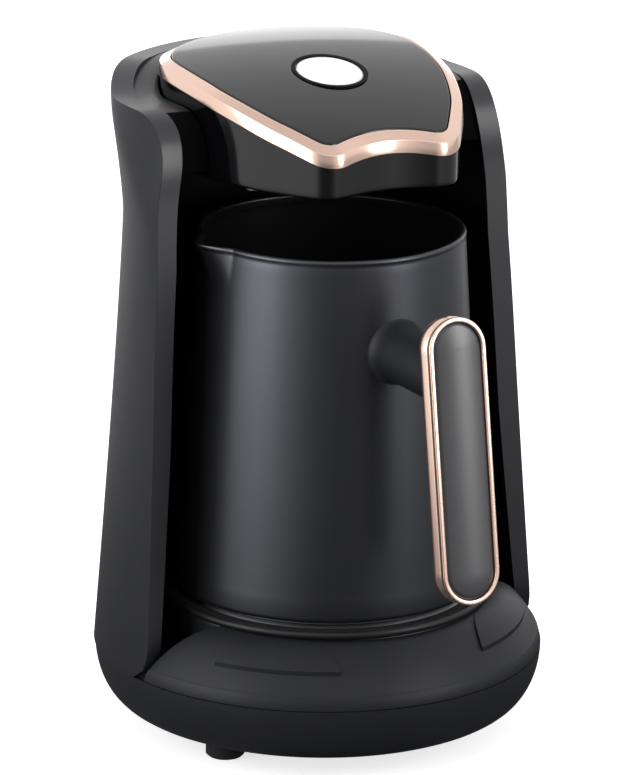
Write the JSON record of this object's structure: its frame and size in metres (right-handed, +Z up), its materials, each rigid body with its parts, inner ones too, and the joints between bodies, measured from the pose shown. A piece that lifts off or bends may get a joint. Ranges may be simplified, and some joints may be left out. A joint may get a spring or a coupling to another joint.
{
  "type": "electric turkish coffee maker",
  "caption": "Electric Turkish coffee maker: round hot-plate base, C-shaped shell and overhanging head with a push button, and a lift-out jug with a pouring lip and an upright grip.",
  "frame": {"origin": "on the floor, below the middle of the object's bounding box, 13.6 mm in front of the round base's axis", "axes": "+Z up, -Y to the front, where the jug's handle is, +X to the right seen from the front"},
  "size_m": [0.1524, 0.1796, 0.2289],
  "materials": {
    "satin_black_plastic": "satin",
    "matt_black_plastic": "matt",
    "gloss_black_plastic": "gloss",
    "gloss_grey_plastic": "gloss",
    "rose_gold_chrome": "bright plated",
    "white_plastic": "satin",
    "black_rubber": "matt",
    "satin_grey_metal": "satin",
    "coated_jug_metal": "satin coating",
    "steel": "brushed",
    "aluminium": "turned",
    "green_board": "satin",
    "black_component": "satin",
    "cream_ceramic": "matt",
    "fuse_metal": "satin",
    "grey_cable": "matt"
  },
  "bodies": {
    "machine": {"base_tray": "satin_black_plastic", "base_cover": "satin_black_plastic", "foot_front_left": "black_rubber", "foot_front_right": "black_rubber", "foot_rear_left": "black_rubber", "foot_rear_right": "black_rubber", "base_screws": "steel", "seat_ring": "satin_grey_metal", "hot_plate": "aluminium", "plate_gasket": "black_rubber", "heating_element": "steel", "plate_bracket": "steel", "bracket_screws": "steel", "thermostat": "cream_ceramic", "thermal_fuse": "fuse_metal", "power_board": "green_board", "relay": "black_component", "capacitor": "black_component", "terminal_block": "green_board", "board_screws": "steel", "cord_gland": "black_rubber", "outer_shell": "satin_black_plastic", "inner_liner": "matt_black_plastic", "head_cable": "grey_cable", "top_shroud": "satin_black_plastic", "head_body": "gloss_black_plastic", "head_underside": "matt_black_plastic", "head_screws": "steel", "lid_panel": "gloss_black_plastic", "trim_band": "rose_gold_chrome", "button_well": "matt_black_plastic", "button_spring": "steel", "switch_body": "black_component", "control_board": "green_board", "control_screws": "steel", "buzzer": "black_component", "foam_sensor": "black_component", "sensor_window": "matt_black_plastic"},
    "jug": {"jug_body": "coated_jug_metal", "jug_base_disc": "steel", "handle_stud": "steel", "handle_neck": "satin_black_plastic", "handle_screw": "steel", "grip_body": "satin_black_plastic", "grip_frame": "rose_gold_chrome", "grip_bezel": "rose_gold_chrome", "grip_panel": "gloss_grey_plastic"},
    "button": {"power_button": "white_plastic"},
    "plunger": {"switch_plunger": "white_plastic"}
  },
  "joints": [
    {"name": "jug_slide", "type": "slide", "parent": "machine", "child": "jug", "axis": [0, -1, 0], "range_m": [0, 0.15]},
    {"name": "button_press", "type": "slide", "parent": "machine", "child": "button", "axis": [0, 0.2121, -0.9772], "range_m": [0, 0.0015], "stiffness_N_per_m": 600, "springref_m": -0.001, "deforming": ["button_spring"]},
    {"name": "switch_press", "type": "slide", "parent": "machine", "child": "plunger", "axis": [0, 0.2121, -0.9772], "range_m": [0, 0.0015]}
  ],
  "couplings": [
    {"joint": "switch_press", "follows": "button_press", "ratio": 1}
  ]
}
